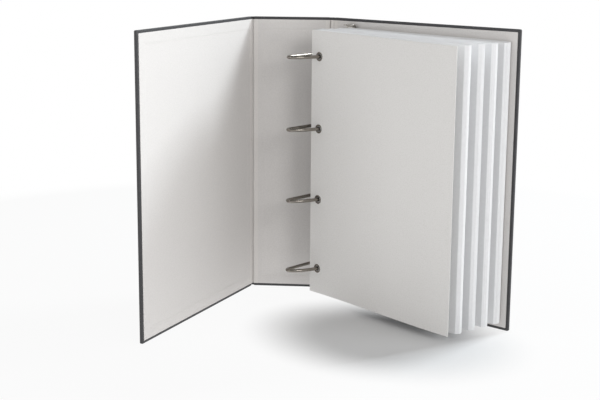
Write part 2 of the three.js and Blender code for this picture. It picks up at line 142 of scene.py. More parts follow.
@dataclass(frozen=True)
class Finish:
    """A surface finish: two mottled colours, grain and a worn or brushed sheen.

    Args:
        slot: The material slot that it belongs to; not used.
        colour: The main colour, linear.
        second: The colour of the mottling, linear.
        mottle: Mottling patches to a metre.
        contrast: Width of the step between the colours, small for crisp flecks.
        share: How far the mottling tends to the main colour, 0 to 1.
        roughness: The lowest and the highest roughness.
        grain: Grain bumps to a metre.
        relief: Depth of the grain, in metres.
        metallic: 1 for bare metal.
        stretch: How the pattern is stretched along X, Y and Z.
        along: True where the pattern follows the piece's own UV map.
    """

    slot: Slot
    colour: tuple[float, float, float]
    second: tuple[float, float, float]
    mottle: float = 60.0
    contrast: float = 0.5
    share: float = 0.5
    roughness: tuple[float, float] = (0.7, 0.85)
    grain: float = 1500.0
    relief: float = 0.00005
    metallic: float = 0.0
    stretch: tuple[float, float, float] = (1.0, 1.0, 1.0)
    along: bool = False

    def material(self, name: str) -> bpy.types.Material:
        """Builds the procedural material.

        Args:
            name: The material's name.

        Returns:
            The new material.
        """
        made = bpy.data.materials.new(name)
        made.use_nodes = True
        tree = made.node_tree
        shader = tree.nodes["Principled BSDF"]
        shader.inputs["Metallic"].default_value = self.metallic
        coordinates = tree.nodes.new("ShaderNodeTexCoord")
        mapping = tree.nodes.new("ShaderNodeMapping")
        mapping.inputs["Scale"].default_value = self.stretch
        output = coordinates.outputs["UV" if self.along else "Object"]
        tree.links.new(output, mapping.inputs["Vector"])

        def noise(scale: float, detail: float) -> bpy.types.NodeSocket:
            """Adds noise over the mapped place.

            Args:
                scale: Its patches to a metre.
                detail: Its levels of detail.

            Returns:
                The noise's value.
            """
            node = tree.nodes.new("ShaderNodeTexNoise")
            node.inputs["Scale"].default_value = scale
            node.inputs["Detail"].default_value = detail
            tree.links.new(mapping.outputs["Vector"], node.inputs["Vector"])
            return node.outputs["Fac"]

        def spread(
            source: bpy.types.NodeSocket, low: float, high: float, to_low: float, to_high: float
        ) -> bpy.types.NodeSocket:
            """Stretches a value from one range to another, and clamps it there.

            Args:
                source: The value.
                low: Where its range starts.
                high: Where its range ends.
                to_low: Where the new range starts.
                to_high: Where the new range ends.

            Returns:
                The new value.
            """
            node = tree.nodes.new("ShaderNodeMapRange")
            node.inputs["From Min"].default_value = low
            node.inputs["From Max"].default_value = high
            node.inputs["To Min"].default_value = to_low
            node.inputs["To Max"].default_value = to_high
            tree.links.new(source, node.inputs["Value"])
            return node.outputs["Result"]

        middle = 0.5 + (0.5 - self.share) * 0.3
        half = self.contrast / 2
        mask = spread(noise(self.mottle, 6.0), middle - half, middle + half, 0, 1)
        blend = tree.nodes.new("ShaderNodeMix")
        blend.data_type = "RGBA"
        colours = [socket for socket in blend.inputs if socket.type == "RGBA"]
        colours[0].default_value = (*self.second, 1)
        colours[1].default_value = (*self.colour, 1)
        tree.links.new(mask, blend.inputs["Factor"])
        result = next(socket for socket in blend.outputs if socket.type == "RGBA")
        tree.links.new(result, shader.inputs["Base Color"])
        fine = noise(self.grain, 3.0)
        rough = spread(fine, 0.3, 0.7, *self.roughness)
        tree.links.new(rough, shader.inputs["Roughness"])
        bump = tree.nodes.new("ShaderNodeBump")
        bump.inputs["Distance"].default_value = self.relief
        bump.inputs["Strength"].default_value = 1.0
        tree.links.new(fine, bump.inputs["Height"])
        tree.links.new(bump.outputs["Normal"], shader.inputs["Normal"])
        return made


FINISHES = {
    "greyboard": Finish(
        Slot.BOARD, (0.30, 0.28, 0.25), (0.22, 0.21, 0.19),
        mottle=400, contrast=0.3, roughness=(0.85, 0.95),
    ),
    "covering": Finish(
        Slot.COVERING, (0.052, 0.052, 0.055), (0.036, 0.036, 0.039),
        mottle=900, contrast=0.4, roughness=(0.5, 0.72), grain=2200, relief=0.00009,
    ),
    "lining": Finish(
        Slot.LINING, (0.72, 0.70, 0.685), (0.655, 0.635, 0.62),
        mottle=1300, contrast=0.3, share=0.6, roughness=(0.72, 0.85), grain=1600, relief=0.00003,
    ),
    "lining_cloth": Finish(
        Slot.LINING, (0.77, 0.745, 0.725), (0.69, 0.665, 0.64),
        mottle=1500, contrast=0.3, share=0.6, roughness=(0.72, 0.88), grain=2600, relief=0.00005,
    ),
    "paper": Finish(
        Slot.PAPER, (0.86, 0.865, 0.875), (0.82, 0.825, 0.835),
        mottle=300, contrast=0.6, share=0.6, roughness=(0.8, 0.9), grain=2500, relief=0.00002,
    ),
    "card": Finish(
        Slot.CARD, (0.76, 0.752, 0.74), (0.68, 0.672, 0.655),
        mottle=1500, contrast=0.22, share=0.7, roughness=(0.78, 0.9), grain=1800, relief=0.00003,
    ),
    # Partly the wire's own duller nickel, partly painted shade: darker than the plate's nickel so the rings'
    # back legs look as dark as a reflection of dark surroundings.
    "wire_nickel_and_painted_shade": Finish(
        Slot.NICKEL, (0.35, 0.325, 0.29), (0.2, 0.18, 0.16),
        mottle=18, contrast=0.7, share=0.6, roughness=(0.12, 0.28), grain=60, relief=0.00001,
        metallic=1.0, stretch=(0.3, 14.0, 1.0), along=True,
    ),
    "plate_nickel": Finish(
        Slot.NICKEL, (0.58, 0.56, 0.52), (0.46, 0.44, 0.41),
        mottle=90, contrast=0.7, share=0.6, roughness=(0.2, 0.38), grain=900, relief=0.000008,
        metallic=1.0, stretch=(1.0, 1.0, 0.06),
    ),
    "eyelet_steel": Finish(
        Slot.BLADE, (0.21, 0.19, 0.165), (0.12, 0.105, 0.09),
        mottle=500, contrast=0.5, roughness=(0.25, 0.45), grain=1500, relief=0.00001, metallic=1.0,
    ),
    "blade_steel": Finish(
        Slot.BLADE, (0.42, 0.42, 0.42), (0.30, 0.30, 0.30),
        mottle=120, contrast=0.6, roughness=(0.3, 0.5), grain=1200, relief=0.00001,
        metallic=1.0, stretch=(1.0, 1.0, 0.05),
    ),
}


class Finishes:
    """Makes each material once."""

    def __init__(self) -> None:
        """Starts with no material made."""
        self.made: dict[str, bpy.types.Material] = {}

    def apply(self, piece: bpy.types.Object, name: str) -> None:
        """Gives a piece its finish.

        Args:
            piece: The object.
            name: The finish's name in FINISHES.
        """
        if name not in self.made:
            self.made[name] = FINISHES[name].material(name)
        piece.data.materials.clear()
        piece.data.materials.append(self.made[name])


@dataclass(frozen=True)
class Panel:
    """One panel of the case, as a flat frame that starts at a fold.

    Args:
        body: The body that it rides on.
        fold: Where the fold is in the plan, X and Y.
        across: Direction from the fold over the panel.
        inward: Direction from its outside face to its inside face.
    """

    body: str
    fold: tuple[float, float]
    across: tuple[float, float]
    inward: tuple[float, float]

    def place(self, across, height, level) -> np.ndarray:
        """Turns places on the panel into points.

        Args:
            across: Distances from the fold.
            height: Distances from the outside face.
            level: Heights above the floor.

        Returns:
            The points, with X, Y and Z in the last axis.
        """
        a, h, z = np.broadcast_arrays(across, height, level)
        return np.stack(
            [
                self.fold[0] + a * self.across[0] + h * self.inward[0],
                self.fold[1] + a * self.across[1] + h * self.inward[1],
                z.astype(float),
            ],
            axis=-1,
        )

    def span(self, node: bpy.types.Object) -> tuple[np.ndarray, np.ndarray]:
        """Finds how far a node reaches over the panel.

        Args:
            node: The CAD node.

        Returns:
            The lowest and the highest across, height and level.
        """
        points = corners_of(node)
        flat = points[:, :2] - np.array(self.fold)
        local = np.stack([flat @ np.array(self.across), flat @ np.array(self.inward), points[:, 2]], axis=1)
        return local.min(axis=0), local.max(axis=0)


def panel_at(body: str, fold_x: float, heading: float, inside: int) -> Panel:
    """Lays a panel from a fold.

    Args:
        body: The body that it rides on.
        fold_x: The fold's X.
        heading: The panel's direction from the fold.
        inside: 1 if its inside face is on the left of that direction, -1 if on the right.

    Returns:
        The panel.
    """
    across = (math.cos(heading), math.sin(heading))
    return Panel(body, (fold_x, FOLD_Y), across, (-inside * across[1], inside * across[0]))


FRONT = panel_at("front_cover", FOLD_X, FRONT_HEADING, 1)
SPINE = panel_at("spine", FOLD_X, 0.0, -1)
SPINE_FROM_BACK = panel_at("spine", FOLD_X + SPINE_WIDTH, math.pi, 1)
BACK = panel_at("back_cover", FOLD_X + SPINE_WIDTH, BACK_HEADING, -1)


def corners_of(node: bpy.types.Object) -> np.ndarray:
    """Reads a CAD node's vertices in the row frame.

    Args:
        node: The CAD node.

    Returns:
        The vertices, one a row.
    """
    flat = np.empty(len(node.data.vertices) * 3)
    node.data.vertices.foreach_get("co", flat)
    matrix = np.array(node.matrix_world)
    return flat.reshape(-1, 3) @ matrix[:3, :3].T + matrix[:3, 3]


def solid(name: str, points: np.ndarray, faces: list, uv: np.ndarray | None = None) -> bpy.types.Object:
    """Makes a closed solid with faces outward, smooth over its soft edges.

    Args:
        name: The object's name.
        points: The vertices, one a row.
        faces: Arrays or lists of vertex numbers, one face a row.
        uv: A UV place for each vertex.

    Returns:
        The new object.
    """
    mesh = bpy.data.meshes.new(name)
    rows = [list(face) for group in faces for face in np.asarray(group).tolist()]
    mesh.from_pydata(points.tolist(), [], rows)
    copy = bmesh.new()
    copy.from_mesh(mesh)
    if copy.calc_volume(signed=True) < 0:
        mesh.flip_normals()
    copy.free()
    if uv is not None:
        layer = mesh.uv_layers.new(name="UVMap")
        order = np.empty(len(mesh.loops), dtype=int)
        mesh.loops.foreach_get("vertex_index", order)
        layer.data.foreach_set("uv", uv[order].ravel())
    mesh.shade_smooth()
    mesh.set_sharp_from_angle(angle=math.radians(38))
    piece = bpy.data.objects.new(name, mesh)
    bpy.context.scene.collection.objects.link(piece)
    return piece


def rings_to_faces(rows: int, sides: int, closed: bool = False) -> list:
    """Joins stacked loops of vertices into quads, with a face over each open end.

    Args:
        rows: How many loops.
        sides: Vertices in a loop.
        closed: True if the last loop joins the first.

    Returns:
        Groups of faces.
    """
    row = np.arange(rows if closed else rows - 1)[:, None] * sides
    following = (row + sides) % (rows * sides)
    side = np.arange(sides)[None, :]
    onward = (side + 1) % sides
    quads = np.stack([row + side, row + onward, following + onward, following + side], axis=-1)
    groups = [quads.reshape(-1, 4)]
    if not closed:
        groups.append([list(range(sides))[::-1]])
        groups.append([list(range((rows - 1) * sides, rows * sides))])
    return groups


def slab(name: str, panel: Panel, low, high, profile, corner: float) -> bpy.types.Object:
    """Makes a thin panel piece from loops that follow its outline, each inset and raised.

    Each loop is the outline drawn in by its inset, with quarter circles of the corner radius,
    less the inset, at its corners.

    Args:
        name: The object's name.
        panel: The panel that it lies on.
        low: Lowest across and level.
        high: Highest across and level.
        profile: Rows of inset and height.
        corner: The outline's corner radius.

    Returns:
        The new object.
    """
    profile = np.asarray(profile)
    inset = profile[:, 0][:, None, None]
    radius = np.maximum(corner - inset, 0.0002)
    quarter = np.arange(4)[None, :, None]
    turn = (quarter + np.linspace(0, 1, 6)[None, None, :]) * math.pi / 2
    right = np.isin(quarter, (0, 3))
    upper = quarter < 2
    centre_a = np.where(right, high[0] - inset - radius, low[0] + inset + radius)
    centre_z = np.where(upper, high[1] - inset - radius, low[1] + inset + radius)
    a = (centre_a + radius * np.cos(turn)).reshape(len(profile), -1)
    z = (centre_z + radius * np.sin(turn)).reshape(len(profile), -1)
    points = panel.place(a, profile[:, 1][:, None], z)
    return solid(name, points.reshape(-1, 3), rings_to_faces(len(profile), a.shape[1]))


def arc_profile(centre, radius: float, start: float, end: float, steps: int = 5) -> list:
    """Rows of inset and height round an arc.

    Args:
        centre: The arc's centre, as inset and height.
        radius: Its radius.
        start: Its first angle in degrees.
        end: Its last angle in degrees.
        steps: How many parts it has.

    Returns:
        The rows.
    """
    angles = np.radians(np.linspace(start, end, steps + 1))
    return (np.array(centre) + radius * np.stack([np.cos(angles), np.sin(angles)], axis=1)).tolist()


def ribbon(name: str, line: np.ndarray, thickness: float, bottom: float, top: float) -> bpy.types.Object:
    """Makes a thin strip whose section follows a line in the plan.

    The line's second side lies at the thickness along its left-hand normal.

    Args:
        name: The object's name.
        line: Rows of X and Y.
        thickness: The strip's thickness.
        bottom: Its lowest level.
        top: Its highest level.

    Returns:
        The new object.
    """
    tangent = np.gradient(line, axis=0)
    tangent /= np.linalg.norm(tangent, axis=1)[:, None]
    normal = np.stack([-tangent[:, 1], tangent[:, 0]], axis=1)
    section = np.concatenate([line, (line + normal * thickness)[::-1]])
    levels = np.array([bottom, top])
    points = np.concatenate([np.column_stack([section, np.full(len(section), level)]) for level in levels])
    return solid(name, points, rings_to_faces(2, len(section)))


@dataclass(frozen=True)
class Joint:
    """The flexible joint between two panels.

    Args:
        name: Its name.
        near: The panel on its first side, measured from this fold.
        far: The panel on its second side, measured from the same fold.
    """

    name: str
    near: Panel
    far: Panel

    def line(self, side: list[tuple[float, float]], turn: float) -> np.ndarray:
        """Draws one layer's section: down the first side, round the fold, up the second.

        Args:
            side: Rows of across and height in millimetres, from the panel towards the fold.
            turn: How far from the fold the rounding starts, in millimetres.

        Returns:
            Rows of X and Y.
        """
        rows = np.array(side) * MM
        height = rows[-1, 1]
        first = self.near.place(rows[:, 0], rows[:, 1], 0)[:, :2]
        second = self.far.place(rows[::-1, 0], rows[::-1, 1], 0)[:, :2]
        half = 0.5 * math.acos(float(np.dot(self.near.across, self.far.across)))
        corner = self.near.place(height / math.tan(half), height, 0)[:2]
        start = self.near.place(turn * MM, height, 0)[:2]
        end = self.far.place(turn * MM, height, 0)[:2]
        t = np.linspace(0, 1, 9)[:, None]
        bend = (1 - t) ** 2 * start + 2 * t * (1 - t) * corner + t**2 * end
        return np.concatenate([first, bend, second])

    def build(self, finishes: Finishes) -> None:
        """Makes the outer strip, its turned-in ends and the inner strip.

        Args:
            finishes: The materials.
        """
        outer = [(5.6, 0.3), (4.6, 0.3), (3.95, 0.38), (3.3, 0.52), (2.6, 0.56)]
        ends = [(3.6, 1.02), (2.9, 1.02)]
        inner = [(9.0, 3.77), (6.5, 3.77), (4.6, 3.77), (4.35, 3.7), (4.1, 3.45), (3.9, 2.9), (3.78, 2.2)]
        inner += [(3.68, 1.75), (3.5, 1.62), (3.25, 1.62), (3.1, 1.75), (3.02, 2.2), (2.95, 2.9)]
        inner += [(2.88, 3.15), (2.8, 3.2)]
        layers = (
            (f"{self.name}_outer_strip", outer, 0.4, 0.2, 317.8, "covering"),
            (f"{self.name}_lower_turn_in", ends, 0.4, 0.3, 14, "covering"),
            (f"{self.name}_upper_turn_in", ends, 0.4, 304, 317.7, "covering"),
            (f"{self.name}_inner_strip", inner, 0.12, 3, 315, "lining_cloth"),
        )
        inwards = np.array(self.near.inward) + np.array(self.far.inward)
        for name, side, thickness, bottom, top, finish in layers:
            line = self.line(side, side[-1][0] - 0.35)
            run = line[-1] - line[0]
            if np.dot([-run[1], run[0]], inwards) < 0:
                line = line[::-1]
            piece = ribbon(name, line, thickness * MM, bottom * MM, top * MM)
            finishes.apply(piece, finish)
            start = self.near.place(0.8 * MM, 0, CASE_HEIGHT / 2)
            end = self.far.place(0.8 * MM, 0, CASE_HEIGHT / 2)
            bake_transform(piece, self.near.body, self.far.body, Vector(start), Vector(end))


@dataclass
class Case:
    """The case: three covered boards with their linings, and the two joints.

    Args:
        finishes: The materials.
        panels: Each panel by the name its nodes start with.
    """

    finishes: Finishes
    panels: dict[str, Panel] = field(
        default_factory=lambda: {"front_cover": FRONT, "spine": SPINE, "back_cover": BACK}
    )

    def covering(self, name: str, panel: Panel) -> None:
        """Makes the covering: over the outside, round the edges and turned in over the board.

        Args:
            name: What the panel's nodes start with.
            panel: The panel.
        """
        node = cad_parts[f"{name}_covering"]
        low, high = panel.span(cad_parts[f"{name}_board"])
        whole = panel.span(node)
        far = high[0] if name == "spine" else whole[1][0]
        edge = 0.85 * MM
        lip = 0.6 * MM
        inside = TURN_IN_TOP - COVERING
        profile = [(22 * MM, 0), (3 * MM, 0), (1.3 * MM, 0)]
        profile += arc_profile((edge, edge), edge, 270, 180)
        profile += arc_profile((lip, TURN_IN_TOP - lip), lip, 180, 90)
        profile += [(1.2 * MM, TURN_IN_TOP), (4 * MM, TURN_IN_TOP), (TURN_IN, TURN_IN_TOP)]
        profile += [(TURN_IN, inside), (4 * MM, inside), (COVERING, inside)]
        profile += [(COVERING, COVERING), (4 * MM, COVERING), (22 * MM, COVERING)]
        piece = slab(
            f"{name}_wrapped_covering", panel, (low[0], whole[0][2]), (far, whole[1][2]), profile, 1.4 * MM
        )
        self.finishes.apply(piece, "covering")
        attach(piece, panel.body)
        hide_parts(node.name)

    def lining(self, name: str, panel: Panel) -> None:
        """Makes the lining, which steps down a little where the turned-in covering ends below it.

        Args:
            name: What the panel's nodes start with.
            panel: The panel.
        """
        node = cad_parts[f"{name}_lining"]
        low, high = panel.span(node)
        round_off = 0.16 * MM
        step = TURN_IN - 3 * MM
        drop = 0.28 * MM
        profile = [(30 * MM, TURN_IN_TOP + 0.04 * MM), (0.4 * MM, TURN_IN_TOP + 0.04 * MM)]
        profile += [(0, TURN_IN_TOP + 0.04 * MM)]
        profile += arc_profile((round_off, PANEL - round_off), round_off, 180, 90, 3)
        profile += [(0.5 * MM, PANEL), (step - 1.2 * MM, PANEL), (step - 0.6 * MM, PANEL - 0.03 * MM)]
        profile += [(step, PANEL - 0.6 * drop), (step + 0.7 * MM, PANEL - 0.92 * drop)]
        profile += [(step + 1.6 * MM, PANEL - drop), (30 * MM, PANEL - drop)]
        piece = slab(
            f"{name}_pasted_lining", panel, (low[0], low[2]), (high[0], high[2]), profile, 0.5 * MM
        )
        self.finishes.apply(piece, "lining")
        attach(piece, panel.body)
        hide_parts(node.name)

    def build(self) -> None:
        """Makes every piece of the case."""
        for name, panel in self.panels.items():
            self.covering(name, panel)
            self.lining(name, panel)
            self.finishes.apply(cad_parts[f"{name}_board"], "greyboard")
        for joint in (Joint("front_joint", FRONT, SPINE), Joint("back_joint", BACK, SPINE_FROM_BACK)):
            joint.build(self.finishes)
        log.info("case built")


def post_across(height: float) -> float:
    """Where the leaning post is across the cover.

    Args:
        height: The height above the lining.

    Returns:
        The place across.
    """
    return POST_FOOT - height * math.tan(LEAN)


@dataclass
class WirePath:
    """A wire's centreline in the plane of its ring, with what each section keeps.

    Args:
        points: Rows of across and height above the lining.
        outward: The direction away from the ring's middle at each point.
        low: The lowest outward offset that each section keeps.
        high: The highest outward offset that each section keeps.
    """

    points: np.ndarray = field(default_factory=lambda: np.empty((0, 2)))
    outward: np.ndarray = field(default_factory=lambda: np.empty((0, 2)))
    low: np.ndarray = field(default_factory=lambda: np.empty(0))
    high: np.ndarray = field(default_factory=lambda: np.empty(0))

    def add(self, points: np.ndarray, outward: np.ndarray, low: float = -1.0, high: float = 1.0) -> None:
        """Adds a stretch.

        Args:
            points: Its rows of across and height.
            outward: The outward direction at each.
            low: The lowest outward offset kept.
            high: The highest outward offset kept.
        """
        self.points = np.concatenate([self.points, points])
        self.outward = np.concatenate([self.outward, outward])
        self.low = np.concatenate([self.low, np.full(len(points), low)])
        self.high = np.concatenate([self.high, np.full(len(points), high)])

    def arc(self, centre, radius: float, start: float, end: float, steps: int, **kept: float) -> None:
        """Adds an arc.

        Args:
            centre: Its centre.
            radius: Its radius.
            start: Its first angle.
            end: Its last angle.
            steps: How many parts it has.
            **kept: The limits of the section.
        """
        angles = np.linspace(start, end, steps + 1)
        outward = np.stack([np.cos(angles), np.sin(angles)], axis=1)
        self.add(np.array(centre) + radius * outward, outward, **kept)

    def wire(self, name: str, level: float) -> bpy.types.Object:
        """Sweeps the round section along the centreline: centre + outward * u + up * w,
        where u = r cos and w = r sin of the angle round it, and u is held to what is kept.

        Args:
            name: The object's name.
            level: The ring's level.

        Returns:
            The new object.
        """
        angle = np.linspace(0, 2 * math.pi, WIRE_SIDES, endpoint=False)[None, :]
        u = np.clip(WIRE_RADIUS * np.cos(angle), self.low[:, None], self.high[:, None])
        w = WIRE_RADIUS * np.sin(angle) + 0 * u
        across = self.points[:, 0][:, None] + self.outward[:, 0][:, None] * u
        height = self.points[:, 1][:, None] + self.outward[:, 1][:, None] * u
        points = BACK.place(across, PANEL + np.maximum(height, WIRE_LIFT), level + w)
        run = np.linalg.norm(np.diff(self.points, axis=0, prepend=self.points[:1]), axis=1).cumsum()
        uv = np.stack(np.broadcast_arrays(run[:, None], angle / (2 * math.pi)), axis=-1)
        faces = rings_to_faces(len(run), WIRE_SIDES)
        return solid(name, points.reshape(-1, 3), faces, uv.reshape(-1, 2))


@dataclass
class RingMechanism:
    """The rings, plate, blades, levers, rivets and eyelets.

    Args:
        finishes: The materials.
    """

    finishes: Finishes

    def shoulder(self) -> tuple[float, np.ndarray, float, np.ndarray]:
        """Solves the arc that turns from the post to the crown.

        Returns:
            The crown's angle, the arc's centre and radius, and the crown's centre.
        """
        angle = LEAN + SHOULDER_TURN
        reach = CROWN_RADIUS * (1 + math.cos(angle))
        run = post_across(POST_HEIGHT) - reach - BOW_ACROSS
        radius = run / (math.cos(LEAN) - math.cos(angle))
        top = np.array([post_across(POST_HEIGHT), POST_HEIGHT])
        centre = top - radius * np.array([math.cos(LEAN), math.sin(LEAN)])
        crown = centre + (radius - CROWN_RADIUS) * np.array([math.cos(angle), math.sin(angle)])
        return angle, centre, radius, crown

    def post(self) -> WirePath:
        """Draws the fixed half, up to the lap that keeps the wire's outer side.

        Returns:
            Its centreline.
        """
        _, centre, radius, _ = self.shoulder()
        lap = SEAM_LAP / radius
        seam = LEAN + SEAM_TURN
        height = np.linspace(-WIRE_RADIUS, POST_HEIGHT, 8)
        line = np.stack([POST_FOOT - height * math.tan(LEAN), height], axis=1)
        side = np.tile([math.cos(LEAN), math.sin(LEAN)], (len(height), 1))
        path = WirePath()
        path.add(line[:-1], side[:-1])
        path.arc(centre, radius, LEAN, seam - lap / 2, 14)
        path.arc(centre, radius, seam - lap / 2, seam + lap / 2, 3, low=SEAM_GAP / 2)
        return path

    def bow(self) -> WirePath:
        """Draws the swinging half, from the lap that keeps the wire's inner side.

        Returns:
            Its centreline.
        """
        angle, centre, radius, crown = self.shoulder()
        lap = SEAM_LAP / radius
        gap = SEAM_GAP / radius
        seam = LEAN + SEAM_TURN
        path = WirePath()
        path.arc(centre, radius, seam - lap / 2 + gap, seam + lap / 2 + gap, 3, high=-SEAM_GAP / 2)
        path.arc(centre, radius, seam + lap / 2 + gap, angle, 14)
        path.arc(crown, CROWN_RADIUS, angle + 0.08, math.pi, 20)
        height = np.linspace(crown[1], BOW_BEND_HEIGHT, 7)[1:]
        line = np.stack([np.full(6, BOW_ACROSS), height], axis=1)
        path.add(line, np.tile([-1.0, 0.0], (6, 1)))
        t = np.linspace(0, 1, 22)[1:, None]
        start = np.array([BOW_ACROSS, BOW_BEND_HEIGHT])
        pull = np.array([BOW_ACROSS, BOW_BEND_HEIGHT - BOW_BEND_PULL])
        foot = np.array([BOW_FOOT, -WIRE_RADIUS])
        curve = (1 - t) ** 2 * start + 2 * t * (1 - t) * pull + t**2 * foot
        heading = 2 * (1 - t) * (pull - start) + 2 * t * (foot - pull)
        heading /= np.linalg.norm(heading, axis=1)[:, None]
        path.add(curve, np.stack([heading[:, 1], -heading[:, 0]], axis=1))
        return path

    def refined(self, node_name: str, body: str, finish: str, bevel: float) -> None:
        """Makes a copy of a CAD node with joined faces and softened edges.

        Args:
            node_name: The CAD node.
            body: The body that it rides on.
            finish: Its finish.
            bevel: The width of its softened edges.
        """
        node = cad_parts[node_name]
        mesh = node.data.copy()
        copy = bmesh.new()
        copy.from_mesh(mesh)
        bmesh.ops.transform(copy, matrix=node.matrix_world, verts=copy.verts)
        bmesh.ops.remove_doubles(copy, verts=copy.verts, dist=0.002 * MM)
        bmesh.ops.dissolve_limit(
            copy, angle_limit=math.radians(0.6), verts=copy.verts, edges=copy.edges
        )
        copy.to_mesh(mesh)
        copy.free()
        for attribute in [item for item in mesh.attributes if item.name == "custom_normal"]:
            mesh.attributes.remove(attribute)
        mesh.shade_smooth()
        mesh.set_sharp_from_angle(angle=math.radians(32))
        piece = bpy.data.objects.new(f"{node_name}_refined", mesh)
        bpy.context.scene.collection.objects.link(piece)
        soft = piece.modifiers.new("soft_edges", "BEVEL")
        soft.width = bevel
        soft.segments = 2
        soft.limit_method = "ANGLE"
        soft.angle_limit = math.radians(32)
        soft.harden_normals = True
        self.finishes.apply(piece, finish)
        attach(piece, body)
        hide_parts(node_name)

    def eyelet(self, node_name: str) -> None:
        """Makes a rolled eyelet: a flattened ring, r = middle + half width * cos and
        depth = half thickness * sin of the angle round its section, about the CAD node's axis,
        which is the direction in which its vertices spread least.

        Args:
            node_name: The CAD node.
        """
        points = corners_of(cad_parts[node_name])
        centre = points.mean(axis=0)
        axis = np.linalg.svd(points - centre, full_matrices=False)[2][2]
        inward = np.array([*BACK.inward, 0.0])
        axis = axis * np.sign(axis @ inward)
        side = np.cross(axis, [0.0, 0.0, 1.0])
        side /= np.linalg.norm(side)
        up = np.cross(side, axis)
        offset = points - centre
        front = (offset @ axis).max()
        away = np.linalg.norm(offset - np.outer(offset @ axis, axis), axis=1)
        rim = EYELET_RIM * away.max()
        middle = (rim + away.min()) / 2
        half = (rim - away.min()) / 2
        turn = np.linspace(0, 2 * math.pi, 48, endpoint=False)[:, None]
        round_it = np.linspace(0, 2 * math.pi, 14, endpoint=False)[None, :]
        radius = middle + half * np.cos(round_it)
        depth = front - EYELET_HALF_THICKNESS * (1 - np.sin(round_it)) + 0 * turn
        shape = (radius * np.cos(turn))[..., None] * side + (radius * np.sin(turn))[..., None] * up
        ring = centre + shape + depth[..., None] * axis
        piece = solid(f"{node_name}_rolled", ring.reshape(-1, 3), rings_to_faces(48, 14, closed=True))
        self.finishes.apply(piece, "eyelet_steel")
        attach(piece, "back_cover")
        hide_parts(node_name)

    def build(self) -> None:
        """Makes every piece of the mechanism."""
        for index, level in enumerate(RING_LEVELS, start=1):
            halves = (("post", self.post(), "back_cover"), ("bow", self.bow(), "ring_bows"))
            for half, path, body in halves:
                piece = path.wire(f"ring_{half}_{index}_wire", level)
                # The wire's finish carries painted shade for the dark surroundings that it reflects.
                self.finishes.apply(piece, "wire_nickel_and_painted_shade")
                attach(piece, body)
                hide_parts(f"ring_{half}_{index}")
            self.eyelet(f"eyelet_{index}")
        metalwork = (
            ("ring_plate", "back_cover", "plate_nickel", 0.28 * MM),
            ("fixed_blade", "back_cover", "blade_steel", 0.15 * MM),
            ("swinging_blade", "ring_bows", "blade_steel", 0.15 * MM),
            ("upper_lever", "upper_thumb_lever", "plate_nickel", 0.3 * MM),
            ("lower_lever", "lower_thumb_lever", "plate_nickel", 0.3 * MM),
            ("upper_rivet", "back_cover", "plate_nickel", 0.2 * MM),
            ("lower_rivet", "back_cover", "plate_nickel", 0.2 * MM),
        )
        for node_name, body, finish, bevel in metalwork:
            self.refined(node_name, body, finish, bevel)
        log.info("ring mechanism built")


def punched_plan() -> tuple[np.ndarray, np.ndarray]:
    """Draws one flat sheet with its four holes as triangles.

    Returns:
        Rows of distance from the bound edge and level on the sheet, and the triangles.
    """
    columns = np.concatenate([[0, 2 * HOLE_MARGIN], np.linspace(2 * HOLE_MARGIN, PAPER_WIDTH, 19)[1:]])
    count = len(columns)
    ends = np.concatenate(
        [np.stack([columns, np.zeros(count)], 1), np.stack([columns, np.full(count, PAPER_HEIGHT)], 1)]
    )
    step = np.arange(count)
    lines = [np.stack([step, step + count], 1)]
    lines += [np.stack([step[:-1], step[1:]], 1), np.stack([step[:-1] + count, step[1:] + count], 1)]
    turn = np.linspace(0, 2 * math.pi, 24, endpoint=False)
    points = [ends]
    centres = np.array([[HOLE_MARGIN, level - PAPER_FLOOR] for level in RING_LEVELS])
    for index, centre in enumerate(centres):
        points.append(centre + HOLE_RADIUS * np.stack([np.cos(turn), np.sin(turn)], 1))
        first = 2 * count + 24 * index
        around = np.arange(24)
        lines.append(np.stack([first + around, first + (around + 1) % 24], 1))
    corners = [Vector(point) for point in np.concatenate(points).tolist()]
    made = delaunay_2d_cdt(corners, np.concatenate(lines).tolist(), [], 0, 1e-7)
    plan = np.array([tuple(point) for point in made[0]])
    triangles = np.array(made[2])
    middle = plan[triangles].mean(axis=1)
    away = np.linalg.norm(middle[:, None] - centres[None], axis=2).min(axis=1)
    return plan, triangles[away > HOLE_RADIUS * 0.99]


def rim_of(triangles: np.ndarray) -> np.ndarray:
    """Finds the outline's edges, which only one triangle has.

    Args:
        triangles: The triangles.

    Returns:
        The edges, in the triangles' own direction.
    """
    edges = np.concatenate([triangles[:, [0, 1]], triangles[:, [1, 2]], triangles[:, [2, 0]]])
    size = triangles.max() + 1
    keys = edges[:, 0] * size + edges[:, 1]
    back = edges[:, 1] * size + edges[:, 0]
    return edges[~np.isin(keys, back)]


def smooth_step(share: np.ndarray) -> np.ndarray:
    """3 s squared less 2 s cubed.

    Args:
        share: Values from 0 to 1.

    Returns:
        The eased values.
    """
    return share * share * (3 - 2 * share)


